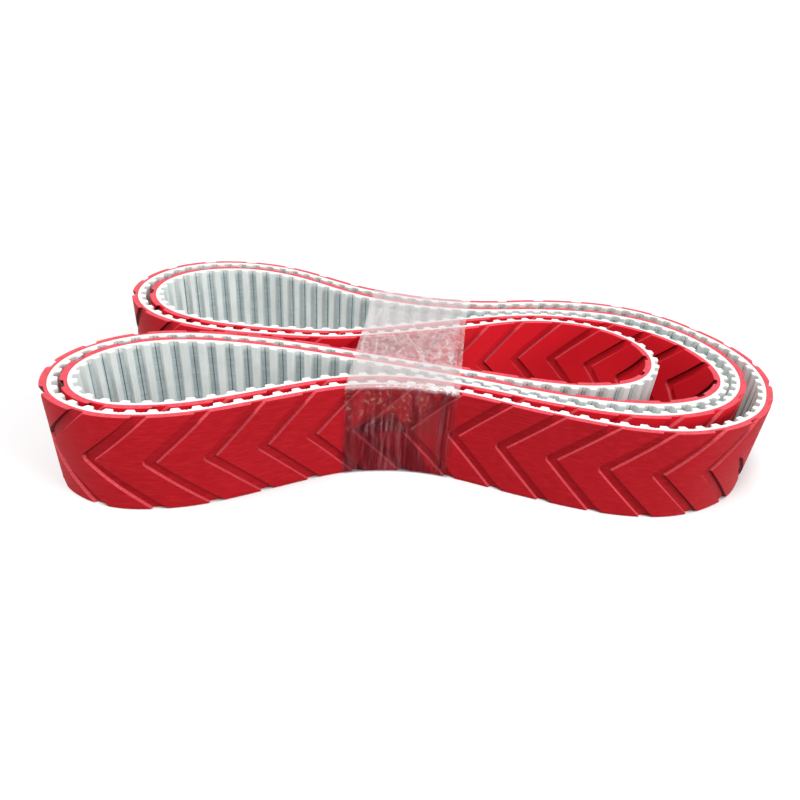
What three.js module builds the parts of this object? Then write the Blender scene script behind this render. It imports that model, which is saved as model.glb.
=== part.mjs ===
// Two endless toothed belts, one nested in the other, folded into a two-lobed bundle that stands on
// its edges and is tied round the waist with clear stretch film.  Units are millimetres, +Z is up,
// X runs along the bundle and Y across it; the folded ends of the two lobes are at -X.
import * as THREE from 'three';

// ---- belt section -------------------------------------------------------------------------------
const BELT_WIDTH = 50;        // edge to edge, upright here
const TOOTH_HEIGHT = 2.5;     // trapezoid tooth
const BACK = 2.0;             // polyurethane between the valley floor and the rubber cover
const TOOTH_FOOT = 5.3;
const TOOTH_TIP = 3.5;
const PITCH_DEPTH = 1.1;      // the pitch line runs this far inside the cover
const COVER = 3.5;            // rubber cover
const BOND = 0.1;             // clearance left for the bond between cover and body
const CORD_POCKET = [0.6, 1.2];  // depth of the slot that holds the steel cords
const CORD_LAYER = [0.7, 1.1];   // the layer of cords itself
const POCKET_ROOF = 1.0;      // polyurethane left over the cords at the upper edge
const CORD_SILL = 0.8;        // the cords start this far above the lower edge
const CORD_HEADROOM = 0.2;    // and stop this far below the roof of their pocket

// ---- grooves milled in the cover ----------------------------------------------------------------
const GROOVE_DEPTH = 1.8;
const GROOVE_TOP = 3.7;       // half width along the belt, at the running face
const GROOVE_FLOOR = 2.95;    // half width along the belt, at the groove floor
const ARM_SLOPE = 1.08;       // run along the belt per millimetre of width: arms at 42.8 degrees
const APEX_HEIGHT = 26;       // of the chevron points above the lower edge
const COVER_ROWS = 4;         // levels across the width that the cover is built from

// ---- the two belts ------------------------------------------------------------------------------
// Each line is the bond line between rubber and polyurethane, seen from above, starting at the fold
// of the front lobe and going along the front, round the right end, along the back, round the fold of
// the rear lobe, back between the lobes and round the inner notch.
const OUTER = {
  name: 'outer_belt', teeth: 171, toothShift: 0.53, grooves: 64, grooveShift: 0.01,
  line: [
    [-189.5, -71.5], [-181, -99], [-164, -111], [-148, -115], [-124, -110], [-105, -101],
    [-66, -74.5], [-44, -61.5], [-11, -54.5], [17, -57.5], [54, -68.5], [99, -77.5], [137, -72.5],
    [170, -48.5], [186.5, -14.5], [189.5, 18.5], [180, 48.5], [160, 76], [138, 92.5], [108, 99],
    [69, 93.5], [27, 79.5], [-13, 76.5], [-54, 85.5], [-99, 108.5], [-129, 114.5], [-159, 107.5],
    [-180, 88.5], [-189.5, 60.5], [-186, 32.5], [-171, 10], [-148, -3], [-118, -7.5], [-79, -5],
    [-47, 3], [19, 35], [42, 49], [66, 57.5], [89, 58.5], [109, 51], [123, 34.5], [127.5, 12.5],
    [121, -10.5], [109, -24.5], [91, -32.5], [69, -35.5], [37, -33], [17, -29.5], [-49, -19],
    [-91, -14], [-131, -15], [-161, -24.5], [-181, -44.5],
  ],
};
const INNER = {
  name: 'inner_belt', teeth: 169, toothShift: 0.57, grooves: 63, grooveShift: 0.7,
  line: [
    [-181, -71.5], [-173.5, -93.5], [-161, -103], [-148, -106], [-126, -101], [-106, -91],
    [-67, -64], [-45, -52], [-11, -45.5], [24, -49.5], [55, -57.5], [85, -62.5], [107, -63],
    [129, -57.5], [151.5, -44.5], [167.5, -24.5], [176, 0.5], [175.5, 24.5], [168, 45.5],
    [154, 64.5], [134, 77.5], [107, 83], [67, 78.5], [27, 67], [-13, 63.5], [-53, 72], [-97, 95.5],
    [-128, 102.5], [-154, 95.5], [-171, 80.5], [-179, 58.5], [-176, 35.5], [-162.5, 16], [-144, 6],
    [-118, 1.5], [-81, 3.5], [-47, 12], [27, 52], [66, 67], [101, 69], [127, 61.5], [147, 46.5],
    [159, 26.5], [164, 6.5], [161.5, -13.5], [152, -29.5], [140, -39.5], [119, -48], [87, -50.5],
    [56, -47], [37, -43], [18, -39], [-48, -28], [-91, -23], [-129, -24], [-155, -32], [-173, -48],
  ],
};

// ---- film ---------------------------------------------------------------------------------------
const FILM = 0.2;             // all turns together
const FILM_GAP = 0.5;         // clear of the rubber
const FILM_FLOOR_GAP = 0.1;   // between the film and the belt edges above and below it
const FILM_FRONT = [-45, 13];  // left and right edge where it crosses the front
const FILM_REAR = [-44, 19];   // and where it crosses the rear
const FILM_STATIONS = 6;      // steps across the film
const FILM_CORNER = 0.2;      // rounding where it folds over the belt edges

const EDGE = FILM + FILM_FLOOR_GAP;     // lower edge of both belts
const CREST = EDGE + BELT_WIDTH;        // upper edge

// ---- fair curve through the points of a line ----------------------------------------------------
const LINE_POINTS = 600;      // stations on the finished line
const SPAN_STEPS = 16;        // steps between two of the given points
const FAIRING_PASSES = 14;    // each pass evens out the curvature a little
const FACE_STEPS = 1200;      // steps round the belt when looking for its outermost face

function even(points, count) {
  const reach = [0];
  points.forEach((p, i) => {
    const q = points[(i + 1) % points.length];
    reach.push(reach[i] + Math.hypot(q[0] - p[0], q[1] - p[1]));
  });
  const total = reach[points.length];
  const out = [];
  let k = 0;
  for (let i = 0; i < count; i++) {
    const want = (total * i) / count;
    while (reach[k + 1] < want) k++;
    const t = (want - reach[k]) / (reach[k + 1] - reach[k]);
    const p = points[k], q = points[(k + 1) % points.length];
    out.push([p[0] + (q[0] - p[0]) * t, p[1] + (q[1] - p[1]) * t]);
  }
  return out;
}

function fairLine(line) {
  const n = line.length;
  const dense = [];
  for (let i = 0; i < n; i++) {
    const [p0, p1, p2, p3] = [line[(i + n - 1) % n], line[i], line[(i + 1) % n], line[(i + 2) % n]];
    for (let k = 0; k < SPAN_STEPS; k++) {
      const t = k / SPAN_STEPS;
      dense.push([0, 1].map((a) => 0.5 * (2 * p1[a] + (p2[a] - p0[a]) * t
        + (2 * p0[a] - 5 * p1[a] + 4 * p2[a] - p3[a]) * t * t
        + (3 * p1[a] - p0[a] - 3 * p2[a] + p3[a]) * t * t * t)));
    }
  }
  const m = LINE_POINTS;
  let curve = even(dense, m);
  for (let pass = 0; pass < FAIRING_PASSES; pass++) {
    curve = curve.map((p, i) => [0, 1].map((a) =>
      0.25 * curve[(i + m - 1) % m][a] + 0.5 * p[a] + 0.25 * curve[(i + 1) % m][a]));
  }
  return even(curve, m);
}

// Point at a distance u along the pitch line and a given depth inside the bond line.
function makeTrack(line) {
  const curve = fairLine(line);
  const m = curve.length;
  const normal = curve.map((p, i) => {
    const a = curve[(i + m - 1) % m], b = curve[(i + 1) % m];
    const len = Math.hypot(b[0] - a[0], b[1] - a[1]);
    return [(b[1] - a[1]) / len, -(b[0] - a[0]) / len];
  });
  const pitchLine = curve.map((p, i) => [0, 1].map((a) => p[a] - normal[i][a] * PITCH_DEPTH));
  const reach = [0];
  pitchLine.forEach((p, i) => {
    const q = pitchLine[(i + 1) % m];
    reach.push(reach[i] + Math.hypot(q[0] - p[0], q[1] - p[1]));
  });
  const length = reach[m];
  const at = (u, depth) => {
    const w = ((u % length) + length) % length;
    let lo = 0, hi = m;
    while (hi - lo > 1) { const mid = (lo + hi) >> 1; if (reach[mid] <= w) lo = mid; else hi = mid; }
    const t = (w - reach[lo]) / (reach[lo + 1] - reach[lo]);
    const j = (lo + 1) % m;
    const nx = normal[lo][0] + (normal[j][0] - normal[lo][0]) * t;
    const ny = normal[lo][1] + (normal[j][1] - normal[lo][1]) * t;
    const nl = Math.hypot(nx, ny);
    return [curve[lo][0] + (curve[j][0] - curve[lo][0]) * t - (nx / nl) * depth,
      curve[lo][1] + (curve[j][1] - curve[lo][1]) * t - (ny / nl) * depth];
  };
  return { length, at };
}

// ---- rings of stations, and the walls and edges between them ------------------------------------
// A ring is a list of stations {u, x, y} with u rising along the belt.
function ring(track, stations) {
  return stations.map(([u, depth]) => {
    const [x, y] = track.at(u, depth);
    return { u, x, y };
  });
}

const span = (a, b) => Math.hypot(a[0] - b[0], a[1] - b[1], a[2] - b[2]);

function wall(tri, ringA, zA, zB, ringB = ringA, facesOut = true) {
  const n = ringA.length;
  for (let i = 0; i < n; i++) {
    const j = (i + 1) % n;
    const a = [ringA[i].x, ringA[i].y, zA], b = [ringA[j].x, ringA[j].y, zA];
    const c = [ringB[j].x, ringB[j].y, zB], d = [ringB[i].x, ringB[i].y, zB];
    const [p, q, r, w] = span(a, c) <= span(b, d) ? [a, b, c, d] : [b, c, d, a];
    if (facesOut) tri.push(p, q, r, p, r, w); else tri.push(p, r, q, p, w, r);
  }
}

// Flat ring-shaped edge between an outside ring and an inside ring, walked along u together.
function edge(tri, outside, inside, z, length, facesUp) {
  const first = (list, u) => {
    let best = 0, gap = Infinity;
    list.forEach((s, i) => {
      const d = Math.abs(((s.u - u + length * 1.5) % length) - length / 2);
      if (d < gap) { gap = d; best = i; }
    });
    return best;
  };
  const no = outside.length, ni = inside.length;
  const startIn = first(inside, outside[0].u);
  const lead = ((outside[0].u - inside[startIn].u + length * 1.5) % length) - length / 2;
  const uo = (k) => outside[k % no].u - outside[0].u + (k >= no ? length : 0);
  const ui = (k) => {
    const raw = inside[(startIn + k) % ni].u - inside[startIn].u;
    return (k >= ni ? length : 0) + (raw < 0 || (k > 0 && k < ni && raw === 0) ? raw + length : raw) - lead;
  };
  let i = 0, k = 0;
  while (i < no || k < ni) {
    const o = outside[i % no], p = inside[(startIn + k) % ni];
    const stepOut = k >= ni || (i < no && uo(i + 1) < ui(k + 1));
    const q = stepOut ? outside[(i + 1) % no] : inside[(startIn + k + 1) % ni];
    const t = [[o.x, o.y, z], [q.x, q.y, z], [p.x, p.y, z]];
    if (facesUp) tri.push(...t); else tri.push(t[0], t[2], t[1]);
    if (stepOut) i++; else k++;
  }
}

function body(name, tri, color, roughness) {
  const geometry = new THREE.BufferGeometry();
  geometry.setAttribute('position', new THREE.Float32BufferAttribute(tri.flat(), 3));
  geometry.computeVertexNormals();
  const mesh = new THREE.Mesh(geometry, new THREE.MeshStandardMaterial({ color, roughness }));
  mesh.name = name;
  return mesh;
}

// ---- one belt: toothed body, cord layer, cover --------------------------------------------------
function belt(spec) {
  const track = makeTrack(spec.line);
  const { length } = track;
  const pitch = length / spec.teeth;
  const centre = (k) => (k + spec.toothShift) * pitch;
  const perTooth = (depth) => ring(track, Array.from({ length: spec.teeth }, (_, k) => [centre(k), depth]));

  const bond = perTooth(0);
  const pocketOut = perTooth(CORD_POCKET[0]);
  const pocketIn = perTooth(CORD_POCKET[1]);
  const teeth = [];
  for (let k = 0; k < spec.teeth; k++) {
    teeth.push([centre(k) - TOOTH_FOOT / 2, BACK], [centre(k) - TOOTH_TIP / 2, BACK + TOOTH_HEIGHT],
      [centre(k) + TOOTH_TIP / 2, BACK + TOOTH_HEIGHT], [centre(k) + TOOTH_FOOT / 2, BACK]);
  }
  const toothRing = ring(track, teeth);
  const roof = CREST - POCKET_ROOF;
  const pu = [];
  wall(pu, bond, EDGE, CREST);
  wall(pu, toothRing, EDGE, CREST, toothRing, false);
  wall(pu, pocketOut, EDGE, roof, pocketOut, false);
  wall(pu, pocketIn, EDGE, roof, pocketIn, true);
  edge(pu, bond, toothRing, CREST, length, true);
  edge(pu, bond, pocketOut, EDGE, length, false);
  edge(pu, pocketIn, toothRing, EDGE, length, false);
  edge(pu, pocketOut, pocketIn, roof, length, false);

  const cords = [];
  const cordOut = perTooth(CORD_LAYER[0]);
  const cordIn = perTooth(CORD_LAYER[1]);
  const cordLow = EDGE + CORD_SILL, cordHigh = roof - CORD_HEADROOM;
  wall(cords, cordOut, cordLow, cordHigh);
  wall(cords, cordIn, cordLow, cordHigh, cordIn, false);
  edge(cords, cordOut, cordIn, cordHigh, length, true);
  edge(cords, cordOut, cordIn, cordLow, length, false);

  // Every row of the cover repeats the groove section, moved along the belt to follow the chevron.
  const step = length / spec.grooves;
  const rowAt = (z) => {
    const shift = Math.abs(z - APEX_HEIGHT) * ARM_SLOPE;
    const stations = [];
    for (let k = 0; k < spec.grooves; k++) {
      const c = (k + spec.grooveShift) * step + shift;
      stations.push([c - GROOVE_TOP, -COVER], [c - GROOVE_FLOOR, GROOVE_DEPTH - COVER],
        [c + GROOVE_FLOOR, GROOVE_DEPTH - COVER], [c + GROOVE_TOP, -COVER], [c + step / 2, -COVER]);
    }
    return ring(track, stations);
  };
  const cover = [];
  const inside = perTooth(-BOND);
  const rows = Array.from({ length: COVER_ROWS + 1 }, (_, r) => (
    r * 2 <= COVER_ROWS ? (APEX_HEIGHT * r * 2) / COVER_ROWS
      : APEX_HEIGHT + ((BELT_WIDTH - APEX_HEIGHT) * (r * 2 - COVER_ROWS)) / COVER_ROWS));
  for (let r = 0; r < COVER_ROWS; r++) {
    wall(cover, rowAt(rows[r]), EDGE + rows[r], EDGE + rows[r + 1], rowAt(rows[r + 1]));
  }
  wall(cover, inside, EDGE, CREST, inside, false);
  edge(cover, rowAt(BELT_WIDTH), inside, CREST, length, true);
  edge(cover, rowAt(0), inside, EDGE, length, false);

  return [
    body(`${spec.name}_toothed_body`, pu, 0xf2f5f1, 0.45),
    body(`${spec.name}_cord_layer`, cords, 0x8d9a9c, 0.35),
    body(`${spec.name}_chevron_cover`, cover, 0xc41e2e, 0.6),
  ];
}

// ---- film round the waist -----------------------------------------------------------------------
function film() {
  const track = makeTrack(OUTER.line);
  // Outermost point of the outer belt's cover at a given x, on the front (side -1) or rear (+1).
  const faceAt = (x, side) => {
    let best = side * -1e3;
    for (let i = 0; i < FACE_STEPS; i++) {
      const a = track.at((track.length * i) / FACE_STEPS, -COVER);
      const b = track.at((track.length * (i + 1)) / FACE_STEPS, -COVER);
      if ((a[0] - x) * (b[0] - x) <= 0 && a[0] !== b[0]) {
        const y = a[1] + ((b[1] - a[1]) * (x - a[0])) / (b[0] - a[0]);
        if (y * side > best * side) best = y;
      }
    }
    return best;
  };
  const loop = (f, grow) => {
    const xf = FILM_FRONT[0] + (FILM_FRONT[1] - FILM_FRONT[0]) * f;
    const xr = FILM_REAR[0] + (FILM_REAR[1] - FILM_REAR[0]) * f;
    const front = faceAt(xf, -1) - FILM_GAP - grow;
    const rear = faceAt(xr, 1) + FILM_GAP + grow;
    const low = EDGE - FILM_FLOOR_GAP - grow, high = CREST + FILM_FLOOR_GAP + grow;
    const r = FILM_CORNER + grow;
    const pts = [];
    const corner = (y, z, from) => {
      for (let k = 0; k <= 2; k++) {
        const a = from + (Math.PI / 4) * k;
        pts.push([y + r * Math.cos(a), z + r * Math.sin(a)]);
      }
    };
    corner(front + r, low + r, Math.PI);
    corner(rear - r, low + r, 1.5 * Math.PI);
    corner(rear - r, high - r, 0);
    corner(front + r, high - r, 0.5 * Math.PI);
    return pts.map(([y, z]) => [xf + (xr - xf) * ((y - front) / (rear - front)), y, z]);
  };
  const tri = [];
  const quad = (a, b, c, d) => tri.push(a, b, c, a, c, d);
  const outer = [], inner = [];
  for (let s = 0; s <= FILM_STATIONS; s++) {
    outer.push(loop(s / FILM_STATIONS, FILM));
    inner.push(loop(s / FILM_STATIONS, 0));
  }
  const n = outer[0].length;
  const last = FILM_STATIONS;
  for (let i = 0; i < n; i++) {
    const j = (i + 1) % n;
    for (let s = 0; s < FILM_STATIONS; s++) {
      quad(outer[s][i], outer[s][j], outer[s + 1][j], outer[s + 1][i]);
      quad(inner[s][i], inner[s + 1][i], inner[s + 1][j], inner[s][j]);
    }
    quad(outer[0][j], outer[0][i], inner[0][i], inner[0][j]);
    quad(outer[last][i], outer[last][j], inner[last][j], inner[last][i]);
  }
  return body('film_wrap', tri, 0xd8c8cc, 0.2);
}

const bundle = new THREE.Group();
bundle.name = 'belt_bundle';
bundle.add(...belt(OUTER), ...belt(INNER), film());
export default bundle;
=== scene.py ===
"""Two endless toothed belts, one nested in the other, folded into a two-lobed bundle that stands on its
edges and is tied round the waist with clear stretch film.

Each belt is rebuilt as three fine meshes: the white toothed body, the winding of steel cords inside it,
and the red rubber cover with its milled chevron grooves.  Shapes and places are in millimetres, and
materials in metres.
"""

import math

import bpy
import numpy as np
from mathutils import Matrix, Vector


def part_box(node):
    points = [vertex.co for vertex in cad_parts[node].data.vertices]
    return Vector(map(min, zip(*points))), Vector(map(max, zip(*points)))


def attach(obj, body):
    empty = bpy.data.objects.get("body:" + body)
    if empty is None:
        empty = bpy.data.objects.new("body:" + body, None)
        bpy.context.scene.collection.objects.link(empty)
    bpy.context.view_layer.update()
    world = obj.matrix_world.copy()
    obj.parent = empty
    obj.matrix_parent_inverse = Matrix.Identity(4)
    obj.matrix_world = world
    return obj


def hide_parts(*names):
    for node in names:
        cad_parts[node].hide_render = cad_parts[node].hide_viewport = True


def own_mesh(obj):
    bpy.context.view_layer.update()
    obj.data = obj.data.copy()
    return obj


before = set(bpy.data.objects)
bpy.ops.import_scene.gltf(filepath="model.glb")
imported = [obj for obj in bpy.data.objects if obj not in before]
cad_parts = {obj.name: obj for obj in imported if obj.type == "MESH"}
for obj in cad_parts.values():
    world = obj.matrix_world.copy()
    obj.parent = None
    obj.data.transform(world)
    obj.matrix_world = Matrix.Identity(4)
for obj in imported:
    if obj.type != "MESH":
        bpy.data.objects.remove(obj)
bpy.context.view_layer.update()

MM = 0.001
lowest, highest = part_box("outer_belt_toothed_body")
EDGE = lowest.z / MM                # lower edge of both belts
CREST = highest.z / MM              # upper edge
MIDDLE = (EDGE + CREST) / 2
HALF_WIDTH = (CREST - EDGE) / 2

# ---- belt section -------------------------------------------------------------------------------
BACK = 2.0                          # polyurethane between the valley floor and the cover
TOOTH_TOP = 4.5                     # depth of the tooth tips inside the bond line
TOOTH_FOOT = 2.65                   # half width of a tooth where it leaves the valley floor
TOOTH_TIP = 1.75
ROOT_TRIM = 0.35                    # how much of each line a rounded corner takes
TIP_TRIM = 0.3
SLOT_HALF = 0.2                     # the narrow slot across the middle of each valley
SLOT_DEPTH = 1.25                   # its floor, which the cords stand proud of
SLOT_LEAN = 0.05                    # how far each of its walls leans out
SLOT_TRIMS = (0.06, 0.1)            # rounding at its floor and at its rim
PITCH_DEPTH = 1.1                   # the cords lie on the pitch line
CORD_RADIUS = 0.45
CORD_TURNS = 26
CORD_MARGIN = 1.6                   # from a belt edge to the nearest cord
CORD_STATIONS = 520                 # for each turn
CORD_SIDES = 8
COVER = 3.5
BOND_GAP = 0.01                     # keeps the cover's inside face off the body
BEVEL = 0.12                        # the cut edges aren't knife sharp

# ---- grooves in the cover -----------------------------------------------------------------------
GROOVE_DEPTH = 1.8
GROOVE_TOP = 3.7                    # half width along the belt, at the running face
GROOVE_FLOOR = 2.95
GROOVE_LIP = 0.15                   # worn lip at the top of each groove wall
GROOVE_FOOT = (0.05, 0.12)          # rounded foot of the wall: its width outside and inside GROOVE_FLOOR
ARM_SLOPE = 1.08                    # run along the belt for each millimetre of width
APEX_RAISE = 1.0                    # the chevron points are this far above the middle of the belt

# ---- the two belts ------------------------------------------------------------------------------
# Bond line between rubber and polyurethane, seen from above: from the fold of the front lobe along the
# front, round the right end, along the back, round the rear lobe and round the notch between the lobes.
OUTER = {
    "name": "outer_belt", "teeth": 171, "tooth_shift": 0.53, "grooves": 64, "groove_shift": 0.01,
    "line": [
        (-189.5, -71.5), (-181, -99), (-164, -111), (-148, -115), (-124, -110), (-105, -101),
        (-66, -74.5), (-44, -61.5), (-11, -54.5), (17, -57.5), (54, -68.5), (99, -77.5), (137, -72.5),
        (170, -48.5), (186.5, -14.5), (189.5, 18.5), (180, 48.5), (160, 76), (138, 92.5), (108, 99),
        (69, 93.5), (27, 79.5), (-13, 76.5), (-54, 85.5), (-99, 108.5), (-129, 114.5), (-159, 107.5),
        (-180, 88.5), (-189.5, 60.5), (-186, 32.5), (-171, 10), (-148, -3), (-118, -7.5), (-79, -5),
        (-47, 3), (19, 35), (42, 49), (66, 57.5), (89, 58.5), (109, 51), (123, 34.5), (127.5, 12.5),
        (121, -10.5), (109, -24.5), (91, -32.5), (69, -35.5), (37, -33), (17, -29.5), (-49, -19),
        (-91, -14), (-131, -15), (-161, -24.5), (-181, -44.5),
    ],
}
INNER = {
    "name": "inner_belt", "teeth": 169, "tooth_shift": 0.57, "grooves": 63, "groove_shift": 0.7,
    "line": [
        (-181, -71.5), (-173.5, -93.5), (-161, -103), (-148, -106), (-126, -101), (-106, -91),
        (-67, -64), (-45, -52), (-11, -45.5), (24, -49.5), (55, -57.5), (85, -62.5), (107, -63),
        (129, -57.5), (151.5, -44.5), (167.5, -24.5), (176, 0.5), (175.5, 24.5), (168, 45.5),
        (154, 64.5), (134, 77.5), (107, 83), (67, 78.5), (27, 67), (-13, 63.5), (-53, 72),
        (-97, 95.5), (-128, 102.5), (-154, 95.5), (-171, 80.5), (-179, 58.5), (-176, 35.5),
        (-162.5, 16), (-144, 6), (-118, 1.5), (-81, 3.5), (-47, 12), (27, 52), (66, 67), (101, 69),
        (127, 61.5), (147, 46.5), (159, 26.5), (164, 6.5), (161.5, -13.5), (152, -29.5), (140, -39.5),
        (119, -48), (87, -50.5), (56, -47), (37, -43), (18, -39), (-48, -28), (-91, -23), (-129, -24),
        (-155, -32), (-173, -48),
    ],
}


# ---- camera -------------------------------------------------------------------------------------
SENSOR_WIDTH = 36
LENS = 30.83                        # focal length
LENS_SHIFT = (-0.001, 0.188)        # shares of the sensor width
CAMERA_PLACE = (-9, -383.5, 206.3)
CAMERA_PITCH = 0.6803               # radians below the horizontal
CAMERA_ROLL = 0.0989


def make_camera():
    """Stands close in front of the bundle and well above it, looks down and is slightly rolled."""
    data = bpy.data.cameras.new("camera")
    data.sensor_width = SENSOR_WIDTH
    data.lens = LENS
    data.shift_x, data.shift_y = LENS_SHIFT
    camera = bpy.data.objects.new("camera", data)
    ahead = Vector((0, math.cos(CAMERA_PITCH), -math.sin(CAMERA_PITCH)))
    level = Vector((1, 0, 0))
    upright = Vector((0, math.sin(CAMERA_PITCH), math.cos(CAMERA_PITCH)))
    right = level * math.cos(CAMERA_ROLL) + upright * math.sin(CAMERA_ROLL)
    up = upright * math.cos(CAMERA_ROLL) - level * math.sin(CAMERA_ROLL)
    turn = Matrix((right, up, -ahead)).transposed().to_4x4()
    camera.matrix_world = Matrix.Translation(Vector(CAMERA_PLACE) * MM) @ turn
    bpy.context.scene.collection.objects.link(camera)
    bpy.context.scene.camera = camera


# ---- line of a belt -----------------------------------------------------------------------------
LINE_POINTS = 600                   # stations on the fair line, as in the CAD
SPAN_STEPS = 16
FAIRING_PASSES = 14
FINE_STEPS = 8                      # finer stations between them, for a smooth surface


def curve_through(points, steps):
    """Closed Catmull-Rom curve through points."""
    p0, p1, p2, p3 = (np.roll(points, k, axis=0) for k in (1, 0, -1, -2))
    t = (np.arange(steps) / steps)[None, :, None]
    p0, p1, p2, p3 = (p[:, None, :] for p in (p0, p1, p2, p3))
    curve = 0.5 * (2 * p1 + (p2 - p0) * t + (2 * p0 - 5 * p1 + 4 * p2 - p3) * t**2
                   + (3 * p1 - p0 - 3 * p2 + p3) * t**3)
    return curve.reshape(-1, 2)


def even(points, count):
    """The closed line again, with count stations evenly spaced."""
    closed = np.vstack([points, points[:1]])
    reach = np.r_[0, np.cumsum(np.linalg.norm(np.diff(closed, axis=0), axis=1))]
    at = np.linspace(0, reach[-1], count, endpoint=False)
    return np.stack([np.interp(at, reach, closed[:, k]) for k in (0, 1)], axis=1)


class Track:
    """Places points by their distance along the pitch line and their depth inside the bond line."""

    def __init__(self, line):
        curve = even(curve_through(np.array(line, float), SPAN_STEPS), LINE_POINTS)
        for _ in range(FAIRING_PASSES):
            curve = 0.25 * np.roll(curve, 1, 0) + 0.5 * curve + 0.25 * np.roll(curve, -1, 0)
        curve = curve_through(even(curve, LINE_POINTS), FINE_STEPS)
        along = np.roll(curve, -1, 0) - np.roll(curve, 1, 0)
        along /= np.linalg.norm(along, axis=1)[:, None]
        outward = np.stack([along[:, 1], -along[:, 0]], axis=1)
        pitch_line = curve - outward * PITCH_DEPTH
        step = np.linalg.norm(np.roll(pitch_line, -1, 0) - pitch_line, axis=1)
        self.reach = np.r_[0, np.cumsum(step)]
        self.length = self.reach[-1]
        self.curve = np.vstack([curve, curve[:1]])
        self.outward = np.vstack([outward, outward[:1]])

    def at(self, along, depth):
        along = np.mod(along, self.length)
        place = [np.interp(along, self.reach, self.curve[:, k]) for k in (0, 1)]
        way = [np.interp(along, self.reach, self.outward[:, k]) for k in (0, 1)]
        size = np.hypot(*way)
        return place[0] - way[0] / size * depth, place[1] - way[1] / size * depth


# ---- meshes -------------------------------------------------------------------------------------
def fade(value, start, length):
    """0 up to start, then rising to 1 over length; with a negative length it falls to 0 at start."""
    return np.clip((value - start) / length, 0, 1)


def grid_object(name, x, y, z, close_rows=True, close_columns=True, values=None):
    """Mesh over a grid of points in millimetres, closed along its rows, its columns or both."""
    rows, columns = x.shape
    points = np.stack([x, y, np.broadcast_to(z, x.shape)], axis=-1).reshape(-1, 3) * MM
    i = np.arange(rows if close_rows else rows - 1)[:, None]
    j = np.arange(columns if close_columns else columns - 1)[None, :]
    i2, j2 = (i + 1) % rows, (j + 1) % columns
    corners = [i * columns + j, i2 * columns + j, i2 * columns + j2, i * columns + j2]
    faces = np.stack([np.broadcast_to(c, (i.size, j.size)) for c in corners], axis=-1).reshape(-1, 4)
    mesh = bpy.data.meshes.new(name)
    mesh.vertices.add(len(points))
    mesh.vertices.foreach_set("co", points.ravel())
    mesh.loops.add(faces.size)
    mesh.loops.foreach_set("vertex_index", faces.ravel().astype(np.int32))
    mesh.polygons.add(len(faces))
    mesh.polygons.foreach_set("loop_start", np.arange(0, faces.size, 4, dtype=np.int32))
    mesh.update(calc_edges=True)
    mesh.validate()
    mesh.shade_smooth()
    for label, value in (values or {}).items():
        attribute = mesh.attributes.new(label, "FLOAT", "POINT")
        attribute.data.foreach_set("value", np.ascontiguousarray(value, np.float32).ravel())
    obj = bpy.data.objects.new(name, mesh)
    bpy.context.scene.collection.objects.link(obj)
    return obj


def crisp(obj):
    """Large faces shade flat, and the shading turns only over the narrow bevels between them."""
    obj.modifiers.new("crisp", "WEIGHTED_NORMAL").weight = 80
    return obj


def rounded(points, trims, steps=3):
    """Open line with each inner corner rounded: trim is what the corner takes from its two lines."""
    points = [Vector(p) for p in points]
    out = [points[0]]
    for before, corner, after, trim in zip(points, points[1:], points[2:], trims):
        start = corner + (before - corner).normalized() * trim
        end = corner + (after - corner).normalized() * trim
        for k in range(steps + 1):
            t = k / steps
            out.append(start * (1 - t) ** 2 + corner * 2 * t * (1 - t) + end * t**2)
    out.append(points[-1])
    return out


# ---- toothed body -------------------------------------------------------------------------------
BODY_ROWS = [BEVEL, 1.0, 1.8, 2.6, 3.4, 6.0, 2 * HALF_WIDTH / 3]   # rows of points, from an edge inwards
CORDS_HIDDEN = 1.8                  # the cords begin to show this far from an edge
CORDS_FADE = 1.6                    # and show fully after this much more
GREY_REACH = 0.1                    # their grey starts this far under a tooth
GREY_FADE = 0.5
SLOT_STAIN = 0.12                   # the dark of the slot reaches this far past it
SLOT_FADE = 0.1


def tooth_section(pitch):
    """One pitch of the running side: distances from the tooth centre, and depths."""
    half = pitch / 2
    slope = rounded(
        [(half, SLOT_DEPTH), (half - SLOT_HALF, SLOT_DEPTH), (half - SLOT_HALF - SLOT_LEAN, BACK),
         (TOOTH_FOOT, BACK), (TOOTH_TIP, TOOTH_TOP), (0, TOOTH_TOP)],
        [*SLOT_TRIMS, ROOT_TRIM, TIP_TRIM],
    )
    falling = [(-p.x, p.y) for p in slope]
    rising = [(p.x, p.y) for p in reversed(slope)]
    return np.array(falling + rising[1:-1])


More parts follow.
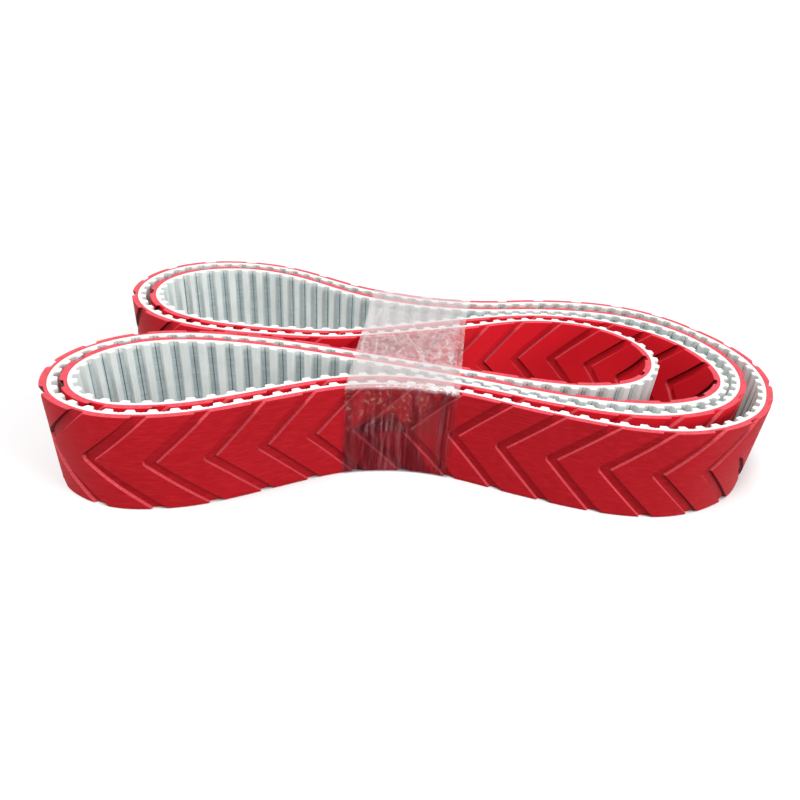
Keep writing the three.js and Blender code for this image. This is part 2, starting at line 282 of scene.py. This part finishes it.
def toothed_body(spec, track):
    pitch = track.length / spec["teeth"]
    section = tooth_section(pitch)
    centres = (np.arange(spec["teeth"]) + spec["tooth_shift"]) * pitch
    along = (centres[:, None] + section[None, :, 0]).ravel()
    depth = np.tile(section[:, 1], spec["teeth"])
    # Round the section once: up the bonded side, over the upper edge, down the teeth, back underneath.
    rows = np.array(BODY_ROWS)
    rows = np.r_[rows, 2 * HALF_WIDTH - rows[::-1]]
    n, m = len(along), len(rows)
    depths = np.column_stack([
        np.zeros(n), np.zeros(n), np.full(n, BEVEL), depth - BEVEL,
        np.tile(depth[:, None], (1, m)), depth - BEVEL, np.full(n, BEVEL),
    ])
    heights = np.r_[EDGE + BEVEL, CREST - BEVEL, CREST, CREST, CREST - rows, EDGE, EDGE]
    x, y = track.at(along[:, None], depths)
    # The cords show grey through the valley floors, but not close to the edges or under the teeth.
    from_centre = np.abs(np.tile(section[:, 0], spec["teeth"]))
    in_valley = fade(from_centre, TOOTH_FOOT - GREY_REACH, GREY_FADE)
    in_slot = fade(from_centre, pitch / 2 - SLOT_HALF - SLOT_STAIN, SLOT_FADE)
    from_edge = HALF_WIDTH - np.abs(heights - MIDDLE)
    running = np.r_[np.zeros(4), np.ones(m), np.zeros(2)]
    inside = running * fade(from_edge, CORDS_HIDDEN, CORDS_FADE)
    values = {"cords": in_valley[:, None] * inside[None, :], "slot": in_slot[:, None] * inside[None, :]}
    return crisp(grid_object(spec["name"] + "_teeth", x, y, heights[None, :], values=values))


# ---- steel cords --------------------------------------------------------------------------------
def cord_winding(spec, track):
    """One cord wound round the belt from edge to edge, with a cap on each end."""
    turn = np.arange(CORD_TURNS * CORD_STATIONS + 1) / CORD_STATIONS
    around = -np.arange(CORD_SIDES) * 2 * math.pi / CORD_SIDES
    lead = (2 * HALF_WIDTH - 2 * CORD_MARGIN) / CORD_TURNS
    along = np.repeat((turn * track.length)[:, None], CORD_SIDES, axis=1)
    x, y = track.at(along, PITCH_DEPTH + CORD_RADIUS * np.cos(around)[None, :])
    z = EDGE + CORD_MARGIN + lead * turn[:, None] + CORD_RADIUS * np.sin(around)[None, :]
    winding = grid_object(spec["name"] + "_cords", x, y, z, close_rows=False)
    mesh = winding.data
    count = len(mesh.vertices)
    caps = [list(range(CORD_SIDES)), list(range(count - 1, count - CORD_SIDES - 1, -1))]
    faces = [list(p.vertices) for p in mesh.polygons]
    capped = bpy.data.meshes.new(mesh.name)
    capped.from_pydata([v.co for v in mesh.vertices], [], faces + caps)
    capped.validate()
    capped.shade_smooth()
    winding.data = capped
    return winding


# ---- rubber cover -------------------------------------------------------------------------------
# Rows of points by their distance above or below the chevron points, close together at the bend.
ARM_ROWS = [0, 0.3, 0.6, 0.9, 1.2, 1.5, 1.75, 1.95, 2.3, 3.0, 4.2, 6.0, 8.5, 11, 13.5, 16, 18.5, 21, 23.5]
LAND_STEPS = 9                      # divisions of the running face between two grooves
# The inner belt, and the outer belt inside the notch, are painted a brighter red as painted light where the
# lamps reach them little: how much, from 0 to 1.
INNER_PAINTED_LIGHT = 0.95
NOTCH_PAINTED_LIGHT = 0.75
NOTCH_X, NOTCH_Y = (-172, 132), (-41, 62)
NOTCH_FADE = 30                     # the painted light comes in over this length, at the mouth of the notch


def outer_wall(across, width):
    """Apex side of a groove: two straight arms and the arc that the round cutter leaves between them."""
    slant = math.hypot(ARM_SLOPE, 1)
    radius = width / slant
    arc = np.sqrt(np.maximum(radius**2 - across**2, 0))
    return np.where(np.abs(across) < radius * ARM_SLOPE / slant, -arc, ARM_SLOPE * np.abs(across) - width)


def inner_wall(across, width):
    return ARM_SLOPE * np.abs(across) + width


def groove_profile(across, step):
    """Lines across the cover for one groove and the land after it: shifts along the belt, and depths."""
    foot_out, foot_in = GROOVE_FOOT
    walls = [(GROOVE_TOP + GROOVE_LIP, 0), (GROOVE_TOP, GROOVE_LIP),
             (GROOVE_FLOOR + foot_out, GROOVE_DEPTH - GROOVE_LIP), (GROOVE_FLOOR - foot_in, GROOVE_DEPTH)]
    lip, floor = walls[0][0], walls[-1][0]
    lines = [(outer_wall(across, width), sink) for width, sink in walls]
    for share in (1 / 3, 2 / 3):
        line = (1 - share) * outer_wall(across, floor) + share * inner_wall(across, floor)
        lines.append((line, GROOVE_DEPTH))
    lines += [(inner_wall(across, width), sink) for width, sink in reversed(walls)]
    for share in np.arange(1, LAND_STEPS) / LAND_STEPS:
        line = (1 - share) * inner_wall(across, lip) + share * (step + outer_wall(across, lip))
        lines.append((line, 0))
    return np.array([line for line, _ in lines]), np.array([sink for _, sink in lines])


def chevron_cover(spec, track):
    step = track.length / spec["grooves"]
    below = np.r_[ARM_ROWS, HALF_WIDTH - BEVEL + APEX_RAISE]
    above = np.r_[ARM_ROWS, HALF_WIDTH - BEVEL - APEX_RAISE]
    across = np.r_[-below[::-1], above[1:]]
    offsets, sinks = groove_profile(across, step)
    centres = (np.arange(spec["grooves"]) + spec["groove_shift"]) * step
    along = (centres[:, None, None] + offsets[None]).reshape(-1, len(across))
    sink = np.tile(sinks, spec["grooves"])
    wall = (sink > 0) & (sink < GROOVE_DEPTH)
    # Round the section: up the running face, over the upper edge, down the bonded side, underneath.
    top, bottom = along[:, -1:], along[:, :1]
    along = np.hstack([along, top, top, top, bottom, bottom, bottom])
    face = sink - COVER
    n = len(face)
    depths = np.column_stack([
        np.tile(face[:, None], (1, len(across))), face + BEVEL, np.full(n, -BEVEL), np.full(n, -BOND_GAP),
        np.full(n, -BOND_GAP), np.full(n, -BEVEL), face + BEVEL,
    ])
    heights = np.r_[MIDDLE + APEX_RAISE + across, CREST, CREST, CREST - BEVEL, EDGE + BEVEL, EDGE, EDGE]
    x, y = track.at(along, depths)
    # Painted light: a brighter red on the outer belt inside the notch, and on the whole inner belt.
    in_notch = (y > NOTCH_Y[0]) * (y < NOTCH_Y[1]) * (x < NOTCH_X[1])
    notch = NOTCH_PAINTED_LIGHT * (fade(x, NOTCH_X[0], NOTCH_FADE) * in_notch)
    values = {
        "milled": np.broadcast_to(wall[:, None], x.shape),
        "painted_light": np.full(x.shape, INNER_PAINTED_LIGHT) if spec is INNER else notch,
    }
    return crisp(grid_object(spec["name"] + "_cover", x, y, heights[None, :], values=values))


# ---- film ---------------------------------------------------------------------------------------
FILM_TURNS = 2.35
FILM_FRONT = (-45, 13)              # left and right edge where the film crosses the front
FILM_REAR = (-44, 19)
FILM_AROUND = 560                   # stations for each turn
FILM_ACROSS = 116
FACE_REACH = 90                     # the faces are traced this far to either side of the middle
FACE_STATIONS = 6000
FILM_OFF = 0.15                     # the first turn lies this far off the belts
FILM_LAYER = 0.22                   # and each turn adds this much
FACE_OFF = 0.25                     # it keeps this much more off the front and rear faces
SIDE_REACH = 3                      # closer than this to the front or rear face it begins to lie on it
TURN_NARROWS = 0.04                 # each turn is this share narrower than the one below
TOP_SHARE = 0.985                   # share of the height from which the film counts as on top
# Folded pleats in the free span: foot x, foot y, tip x, tip y and half width at the foot.
PLEATS = [
    (-34, -29, -36, 13, 0.7), (-24, -4, -27, 11, 0.6), (-8, -23, -18, 13, 0.8), (-7.5, -25, -9, 0, 2.2),
    (-20, -20, -18.5, -8, 1.7), (10.5, -24, 4, 13, 2.0), (0.5, -21, 1.5, -5, 1.9), (-28, -17, -31, -5, 1.1),
    (-39, 30, -35, 52, 1.0), (-13, 18, -17, 36, 0.9), (-2, 10, 6, 34, 0.8), (-41, -20, -42, 12, 0.8),
]
PLEAT_TIP = 0.45                    # half width that a pleat keeps up to its tip
PLEAT_BEND = 0.8                    # how far a pleat strays from a straight line
PLEAT_LIFT = 0.25
CRUMPLE_LIFT = 0.12
GATHER_LIFT = 0.9
TAIL_EDGE = [(-45, 24), (-33, 32), (-20, 37), (-14, 29), (2.5, 4)]   # end of the last turn: x, height
TAIL_RIGHT = 4                      # right of this x the film is a little darker again


def ripple(a, b, seed, octaves=4):
    """Smooth repeatable noise of two coordinates, mostly between -1 and 1."""
    rng = np.random.default_rng(seed)
    total, weight = 0, 1.0
    for k in range(octaves):
        for _ in range(5):
            turn, start = rng.uniform(0, 2 * math.pi, 2)
            size = 2**k * rng.uniform(0.7, 1.4)
            total = total + weight * 0.3 * np.sin(size * (a * math.cos(turn) + b * math.sin(turn)) + start)
        weight *= 0.55
    return total


def hump(value, middle, width):
    return np.exp(-(((value - middle) / width) ** 2))


def outer_face(track, x, side):
    """Where the running face of the outer belt stands at x, on the front (-1) or the rear (+1)."""
    reach = FACE_REACH
    px, py = track.at(np.linspace(0, track.length, FACE_STATIONS), -COVER)
    wanted = (py * side > 0) & (np.abs(px) < reach)
    best = np.full(2 * reach + 1, -np.inf)
    cell = np.clip(np.round(px[wanted]).astype(int) + reach, 0, 2 * reach)
    np.maximum.at(best, cell, py[wanted] * side)
    known = np.isfinite(best)
    cells = np.arange(2 * reach + 1)
    best = np.interp(cells, np.flatnonzero(known), best[known])
    return np.interp(x, cells - reach, best) * side


def film_sides(track, across):
    """The film's x where it crosses the front and the rear, and where the belts stand there."""
    front_x = FILM_FRONT[0] + (FILM_FRONT[1] - FILM_FRONT[0]) * across
    rear_x = FILM_REAR[0] + (FILM_REAR[1] - FILM_REAR[0]) * across
    return front_x, rear_x, outer_face(track, front_x, -1), outer_face(track, rear_x, 1)


def tension_pleats(x, y):
    """Flat folded pleats that fan out from the near side of the notch and taper rearwards."""
    total = 0 * x
    for k, (foot_x, foot_y, tip_x, tip_y, width) in enumerate(PLEATS):
        t = (y - foot_y) / (tip_y - foot_y)
        inside = fade(t, -0.1, 0.1) * fade(t, 1, -0.15)
        middle = foot_x + (tip_x - foot_x) * t + PLEAT_BEND * np.sin(2.5 * t + k)
        half = PLEAT_TIP + width * np.clip(1 - t, 0, 1) ** 0.8
        total = np.maximum(total, inside * fade(np.abs(x - middle) / half, 1, -0.5))
    return total


def film_path(track):
    """The band before it is shaped, point by point: turn, share across, x, y, rise, front and rear face."""
    turn = np.linspace(0, FILM_TURNS, int(FILM_TURNS * FILM_AROUND))[:, None]
    across = np.linspace(1, 0, FILM_ACROSS)[None, :]
    # Each turn starts half way up the front, goes over the top, down the rear and home underneath.
    _, _, front, rear = film_sides(track, across)
    height = CREST - EDGE
    depth = float((rear - front).mean())
    around = 2 * (height + depth)
    s = np.mod(turn * around + height / 2, around)
    up = np.clip(s, 0, height)
    back = np.clip(s - height, 0, depth)
    down = np.clip(s - height - depth, 0, height)
    home = np.clip(s - 2 * height - depth, 0, depth)
    y_share = (back - home) / depth
    rise = (up - down) / height
    # Each turn lies a little differently, so its edges show beside the edges of the one below.
    lean = 0.02 * np.sin(turn * 2 * math.pi * 0.43 + 0.6) + 0.008 * np.sin(turn * 11)
    tuck = np.clip(across * (1 - TURN_NARROWS * np.floor(turn)) + lean, 0, 1)
    front_x, rear_x, front, rear = film_sides(track, tuck)
    x = front_x + (rear_x - front_x) * y_share
    y = front + (rear - front) * y_share
    return turn, tuck, x, y, rise, front, rear


def film_wrap(track):
    turn, tuck, x, y, rise, front, rear = film_path(track)
    top = fade(rise, TOP_SHARE, 1 - TOP_SHARE)
    under = fade(rise, 1 - TOP_SHARE, TOP_SHARE - 1)
    at_front = fade(y - front, SIDE_REACH, -SIDE_REACH)
    at_rear = fade(rear - y, SIDE_REACH, -SIDE_REACH)
    free = top * (1 - 0.6 * at_rear)
    # Free spans carry pleats and a fine crumple, the front edge is gathered, and faces lie tight.
    pleats = tension_pleats(x, y)
    crumple = np.abs(ripple(x * 0.33, y * 0.28, seed=8)) ** 1.4
    gather = hump(y - front, 1.5, 3.5) * np.abs(ripple(x * 0.8, y * 0.7, seed=13, octaves=3))
    gather = gather * np.clip((x + 36) / 12, 0.15, 1)
    lift = free * (PLEAT_LIFT * pleats + CRUMPLE_LIFT * crumple + GATHER_LIFT * gather)
    z = EDGE + (CREST - EDGE) * rise
    streaks = 0.12 * np.abs(ripple(x * 0.8, z * 0.03, seed=21, octaves=3))
    layer = FILM_OFF + FILM_LAYER * turn
    z = z + top * (layer + lift) - under * (0.04 + 0.08 * turn)
    y = y + (at_rear - at_front) * (1 - under) * (layer + FACE_OFF + streaks)

    # What the material needs to know at each point: where the film clings to the faces, spans the notch,
    # is hazy, lies in several dark layers, takes a painted highlight along its crinkled, gathered edge and
    # glints in fine strokes.
    cling = (1 - top) * (1 - under) + 0 * x
    on_belts = fade(y, -26, -3) + fade(y - 0.4 * x, 24, 3)
    last_edge = 0.1 * top * fade(tuck, 0.955, 0.02)
    haze = free * (0.12 + 0.08 * pleats + 0.03 * crumple + 0.07 * on_belts) + 0.1 * under + last_edge
    # Painted highlight: white clumps along the crinkled top of the front edge.
    near_edge = hump(y - front, 1.2, 1.7) * fade(z, CREST - 1.8, 1.2)
    clumps = np.clip(0.45 + 0.9 * ripple(x * 0.2, 0 * y, seed=17, octaves=3), 0, 1)
    edge = np.interp(x, *zip(*TAIL_EDGE), right=0)
    tail = np.clip(fade(z, edge, -1.2) + 0.55 * fade(x, TAIL_RIGHT, 0.6), 0, 1)
    band = np.abs(ripple(x * 0.55, z * 0.02, seed=31, octaves=3))
    values = {
        "cling": cling,
        "span": top * (1 - np.clip(on_belts, 0, 1)),
        "haze": np.clip(haze, 0, 1),
        "dark": np.clip(cling * (0.22 + 0.68 * tail + 0.35 * (band - 0.4)), 0, 1),
        "painted_edge_highlight": near_edge * clumps * fade(x, -34, 8) * fade(x, 18, -6),
        "glint": at_front * (1 - top) * fade(z, 20, 14) * fade(x, 2, -8),
    }
    return grid_object("film", x, y, z, close_rows=False, close_columns=False, values=values)


# ---- materials ----------------------------------------------------------------------------------
class Nodes:
    """Small helper that builds a node material line by line."""

    def __init__(self, name):
        self.material = bpy.data.materials.new(name)
        self.material.use_nodes = True
        self.tree = self.material.node_tree
        self.tree.nodes.clear()

    def add(self, kind, inputs=None, **settings):
        node = self.tree.nodes.new("ShaderNode" + kind)
        for key, value in settings.items():
            setattr(node, key, value)
        for key, value in (inputs or {}).items():
            if isinstance(value, bpy.types.NodeSocket):
                self.tree.links.new(value, node.inputs[key])
            else:
                node.inputs[key].default_value = value
        return node

    def value(self, label):
        return self.add("Attribute", attribute_name=label).outputs["Fac"]

    def noise(self, scale, detail, stretch=(1, 1, 1)):
        place = self.add("TexCoord").outputs["Object"]
        placed = self.add("Mapping", {"Vector": place, "Scale": stretch}).outputs[0]
        made = self.add("TexNoise", {"Vector": placed, "Scale": scale, "Detail": detail,
                                     "Roughness": 0.55})
        return made.outputs["Fac"]

    def between(self, value, low, high, out_low=0.0, out_high=1.0):
        """Maps low..high to out_low..out_high and holds the ends."""
        made = self.add("MapRange", {"Value": value, "From Min": low, "From Max": high,
                                     "To Min": out_low, "To Max": out_high})
        return made.outputs["Result"]

    def math(self, operation, a, b):
        return self.add("Math", {0: a, 1: b}, operation=operation).outputs[0]

    def times(self, a, b):
        return self.math("MULTIPLY", a, b)

    def plus(self, a, b):
        return self.math("ADD", a, b)

    def size(self, value):
        return self.math("ABSOLUTE", value, 0.0)

    def ridge(self, value):
        """Distance of a noise value from its middle: small along thin winding lines."""
        return self.size(self.math("SUBTRACT", value, 0.5))

    def mix(self, factor, a, b):
        made = self.add("Mix", {0: factor, 6: a, 7: b}, data_type="RGBA")
        return made.outputs[2]

    def bump(self, height, distance, strength):
        made = self.add("Bump", {"Height": height, "Distance": distance, "Strength": strength})
        return made.outputs[0]

    def finish(self, shader):
        output = self.add("OutputMaterial")
        self.tree.links.new(shader, output.inputs["Surface"])
        return self.material


# Colours in linear light.  The pairs are the two ends of a fine mottle.
BASE_RED = (0.26, 0.0026, 0.006, 1), (0.29, 0.0034, 0.0078, 1)
# painted light: the brighter red of the sheltered inner belt and notch faces
PAINTED_LIGHT_RED = (0.62, 0.0085, 0.018, 1)
GROUND_RED = (0.42, 0.014, 0.024, 1)            # the paler grain of the ground running face
MILLED_RED = (0.36, 0.03, 0.04, 1), (0.47, 0.064, 0.078, 1)
PAINTED_SHADE_RED = (0.09, 0.0016, 0.003, 1)         # painted shade on the groove walls that face down
SLICED_RED = (0.44, 0.045, 0.062, 1), (0.52, 0.066, 0.088, 1)
BODY_WHITE = (0.55, 0.58, 0.565, 1), (0.62, 0.645, 0.63, 1)
CORD_GREY = (0.32, 0.385, 0.39, 1), (0.43, 0.5, 0.5, 1)
SLOT_GREY = (0.21, 0.26, 0.265, 1)
STEEL = (0.2, 0.23, 0.23, 1), (0.42, 0.45, 0.45, 1)
FILM_CLEAR = (0.985, 0.98, 0.985, 1)
FILM_LAYERED = (0.74, 0.72, 0.78, 1)
FILM_MILK = (0.8, 0.755, 0.75, 1)
FILM_GLINT = (0.66, 0.37, 0.2, 1)
FLOOR_WHITE = (0.575, 0.575, 0.575, 1), (0.585, 0.585, 0.585, 1)


def rubber_material():
    """Red rubber: ground running faces, paler milled groove walls and paler sliced edges, with painted shade
    on groove walls that face down and painted light on sheltered faces.
    """
    n = Nodes("red_rubber")
    upright = n.add("SeparateXYZ", {0: n.add("NewGeometry").outputs["True Normal"]}).outputs["Z"]
    sliced_edge = n.between(n.size(upright), 0.75, 0.95)
    # Painted shade: groove walls that face down are darkened.
    painted_shade = n.between(upright, -0.25, -0.55)
    blotch = n.noise(28, 4)
    grain = n.noise(1100, 2, stretch=(0.5, 0.5, 2.5))
    ground = n.noise(500, 3, stretch=(0.3, 0.3, 3))
    face = n.mix(n.between(blotch, 0.35, 0.65), *BASE_RED)
    # Painted light: a brighter red on the inner belt and on the outer belt inside the notch.
    face = n.mix(n.value("painted_light"), face, PAINTED_LIGHT_RED)
    face = n.mix(n.between(ground, 0.42, 0.75, 0, 0.5), face, GROUND_RED)
    milled = n.mix(n.between(grain, 0.3, 0.7), *MILLED_RED)
    # painted shade on the groove walls that face down
    milled = n.mix(painted_shade, milled, PAINTED_SHADE_RED)
    sliced = n.mix(n.between(grain, 0.35, 0.65), *SLICED_RED)
    color = n.mix(sliced_edge, n.mix(n.value("milled"), face, milled), sliced)
    shader = n.add("BsdfPrincipled", {"Base Color": color, "Normal": n.bump(ground, 0.00005, 0.7),
                                      "Roughness": n.between(blotch, 0.3, 0.7, 0.5, 0.62),
                                      "Specular IOR Level": 0.07})
    return n.finish(shader.outputs[0])


def polyurethane_material():
    """White polyurethane that lets some light in, with the cords showing grey under the valleys."""
    n = Nodes("white_polyurethane")
    cloud = n.noise(60, 3)
    fine = n.noise(700, 2)
    streak = n.noise(420, 2, stretch=(0.15, 0.15, 1.6))
    white = n.mix(n.between(cloud, 0.35, 0.65), *BODY_WHITE)
    grey = n.mix(n.between(streak, 0.35, 0.7), *CORD_GREY)
    color = n.mix(n.value("slot"), n.mix(n.value("cords"), white, grey), SLOT_GREY)
    shader = n.add("BsdfPrincipled", {"Base Color": color, "Normal": n.bump(fine, 0.00003, 0.4),
                                      "Roughness": n.between(cloud, 0.3, 0.7, 0.36, 0.46),
                                      "Subsurface Weight": 0.3, "Subsurface Scale": 1.0,
                                      "Subsurface Radius": (0.002, 0.002, 0.0018), "IOR": 1.49})
    return n.finish(shader.outputs[0])


def steel_material():
    n = Nodes("steel_cord")
    strand = n.noise(1500, 2, stretch=(1, 1, 2.5))
    shader = n.add("BsdfPrincipled", {"Base Color": n.mix(strand, *STEEL), "Roughness": 0.42,
                                      "Metallic": 1.0, "Normal": n.bump(strand, 0.00006, 0.8)})
    return n.finish(shader.outputs[0])


def film_milk(n, drawn):
    """How milky the film is at each point, with a painted highlight along its crinkled front edge, and the
    strokes in it that glint.
    """
    curls = n.between(n.ridge(n.noise(230, 1.5, stretch=(1, 0.7, 1))), 0.01, 0.1, 0.45, -0.3)
    fine = n.between(n.ridge(n.noise(400, 1.0, stretch=(0.8, 1, 1))), 0.0, 0.12, 0.35, -0.2)
    veins = n.plus(n.times(n.plus(curls, fine), n.value("span")), 1.0)
    crinkle = n.between(n.ridge(n.noise(190, 3, stretch=(1, 1.3, 0.8))), 0.035, 0.07, 1.0, 0.0)
    strokes = n.between(n.ridge(n.noise(330, 3, stretch=(1.2, 1.2, 0.8))), 0.01, 0.035, 1.0, 0.0)
    flecks = n.times(strokes, n.between(n.noise(420, 2), 0.54, 0.6))
    glints = n.times(flecks, n.value("glint"))
    milky = n.times(n.value("haze"), veins)
    # painted highlight along the crinkled front edge
    milky = n.plus(milky, n.times(n.times(n.value("painted_edge_highlight"), crinkle), 0.95))
    milky = n.plus(milky, n.times(glints, 0.25))
    milky = n.plus(milky, n.times(n.value("dark"), n.between(drawn, 0.48, 0.75, 0.0, 0.07)))
    return milky, glints


def film_material():
    """Clear film, the same for each turn: milky over the gaps, darker where it clings to the rubber."""
    n = Nodes("stretch_film")
    drawn = n.noise(300, 3, stretch=(3.0, 0.25, 0.2))
    mottle = n.noise(520, 4)
    relief = n.bump(n.plus(drawn, n.times(mottle, 0.6)), 0.0003, 0.5)
    milky, glints = film_milk(n, drawn)
    shade = n.times(n.value("dark"), n.between(drawn, 0.3, 0.65, 1.4, 0.4))
    clear = n.add("BsdfTransparent", {"Color": n.mix(shade, FILM_CLEAR, FILM_LAYERED)})
    milk_color = n.mix(glints, FILM_MILK, FILM_GLINT)
    front_lit = n.add("BsdfDiffuse", {"Color": milk_color, "Normal": relief})
    back_lit = n.add("BsdfTranslucent", {"Color": milk_color, "Normal": relief})
    milk = n.add("MixShader", {0: 0.4, 1: front_lit.outputs[0], 2: back_lit.outputs[0]})
    hazy = n.add("MixShader", {0: milky, 1: clear.outputs[0], 2: milk.outputs[0]})
    # A weak sheen face on, weaker still where the film clings, and a strong one at a glancing angle.
    gloss = n.add("BsdfGlossy", {"Color": (1, 1, 1, 1), "Roughness": 0.14, "Normal": relief})
    facing = n.add("LayerWeight", {"Blend": 0.5, "Normal": relief}).outputs["Facing"]
    face_on = n.between(n.value("cling"), 0.0, 1.0, 0.03, 0.004)
    glancing = n.between(n.math("POWER", facing, 5.0), 0.0, 1.0, 0.0, 0.6)
    sheen = n.math("MAXIMUM", face_on, glancing)
    shiny = n.add("MixShader", {0: sheen, 1: hazy.outputs[0], 2: gloss.outputs[0]})
    return n.finish(shiny.outputs[0])


def floor_material():
    n = Nodes("pale_floor")
    soft = n.mix(n.noise(3, 2), *FLOOR_WHITE)
    shader = n.add("BsdfPrincipled", {"Base Color": soft, "Roughness": 0.8, "Specular IOR Level": 0.1})
    return n.finish(shader.outputs[0])


# ---- studio -------------------------------------------------------------------------------------
SKY_LIGHT = 0.62                    # the white dome above the backdrop
ZENITH_LIGHT = 0.8                  # and straight overhead
BACKDROP_LIGHT = 1.05               # the far wall, a band round the horizon
BACKDROP_RISE = (0.05, 0.4)         # sine of the height where the band begins to dim and where it ends
FLOOR_RADIUS = 30                   # metres


def soft_light(name, way, strength, spread):
    """A broad distant light that comes from the direction way; its spread is in degrees."""
    data = bpy.data.lights.new(name, "SUN")
    data.energy, data.angle = strength, math.radians(spread)
    light = bpy.data.objects.new(name, data)
    light.rotation_euler = (-Vector(way)).to_track_quat("-Z", "Y").to_euler()
    bpy.context.scene.collection.objects.link(light)


def make_sky():
    """A white dome, a little brighter overhead, with a bright backdrop all round the horizon."""
    world = bpy.data.worlds.new("studio")
    world.use_nodes = True
    tree = world.node_tree
    background = tree.nodes["Background"]
    background.inputs["Color"].default_value = (1, 1, 1, 1)

    def step(kind, source, **inputs):
        node = tree.nodes.new("ShaderNode" + kind)
        tree.links.new(source, node.inputs[0])
        for key, value in inputs.items():
            node.inputs[key.replace("_", " ")].default_value = value
        return node

    way = tree.nodes.new("ShaderNodeTexCoord").outputs["Generated"]
    height = step("SeparateXYZ", way).outputs["Z"]
    cubed = height
    for _ in range(2):
        product = step("Math", cubed)
        product.operation = "MULTIPLY"
        tree.links.new(height, product.inputs[1])
        cubed = product.outputs[0]
    dome = step("MapRange", cubed, To_Min=SKY_LIGHT, To_Max=ZENITH_LIGHT).outputs[0]
    low, high = BACKDROP_RISE
    band = step("MapRange", height, From_Min=low, From_Max=high,
                To_Min=BACKDROP_LIGHT - SKY_LIGHT, To_Max=0.0).outputs[0]
    both = step("Math", dome)
    tree.links.new(band, both.inputs[1])
    tree.links.new(both.outputs[0], background.inputs["Strength"])
    bpy.context.scene.world = world


def make_studio():
    make_sky()
    bpy.context.scene.view_settings.view_transform = "Standard"
    bpy.ops.mesh.primitive_circle_add(vertices=96, radius=FLOOR_RADIUS, fill_type="NGON", location=(0, 0, 0))
    floor = bpy.context.object
    floor.name = "floor"
    floor.data.materials.append(floor_material())
    soft_light("overhead", way=(-0.2, -0.26, 0.94), strength=3.5, spread=26)
    soft_light("side", way=(0.85, -0.35, 0.4), strength=2.1, spread=30)


# ---- the object ---------------------------------------------------------------------------------
def place(obj, material, body, node, slot):
    obj.data.materials.append(material)
    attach(obj, body)
    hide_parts(node)


def make_belts():
    rubber, polyurethane, steel = rubber_material(), polyurethane_material(), steel_material()
    for spec in (OUTER, INNER):
        name = spec["name"]
        track = Track(spec["line"])
        place(toothed_body(spec, track), polyurethane, name, name + "_toothed_body", "polyurethane")
        place(cord_winding(spec, track), steel, name, name + "_cord_layer", "steel_cord")
        place(chevron_cover(spec, track), rubber, name, name + "_chevron_cover", "rubber_cover")


def make_film():
    film = film_wrap(Track(OUTER["line"]))
    film.data.materials.append(film_material())
    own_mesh(film)
    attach(film, "outer_belt")
    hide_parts("film_wrap")


make_camera()
make_studio()
make_belts()
make_film()
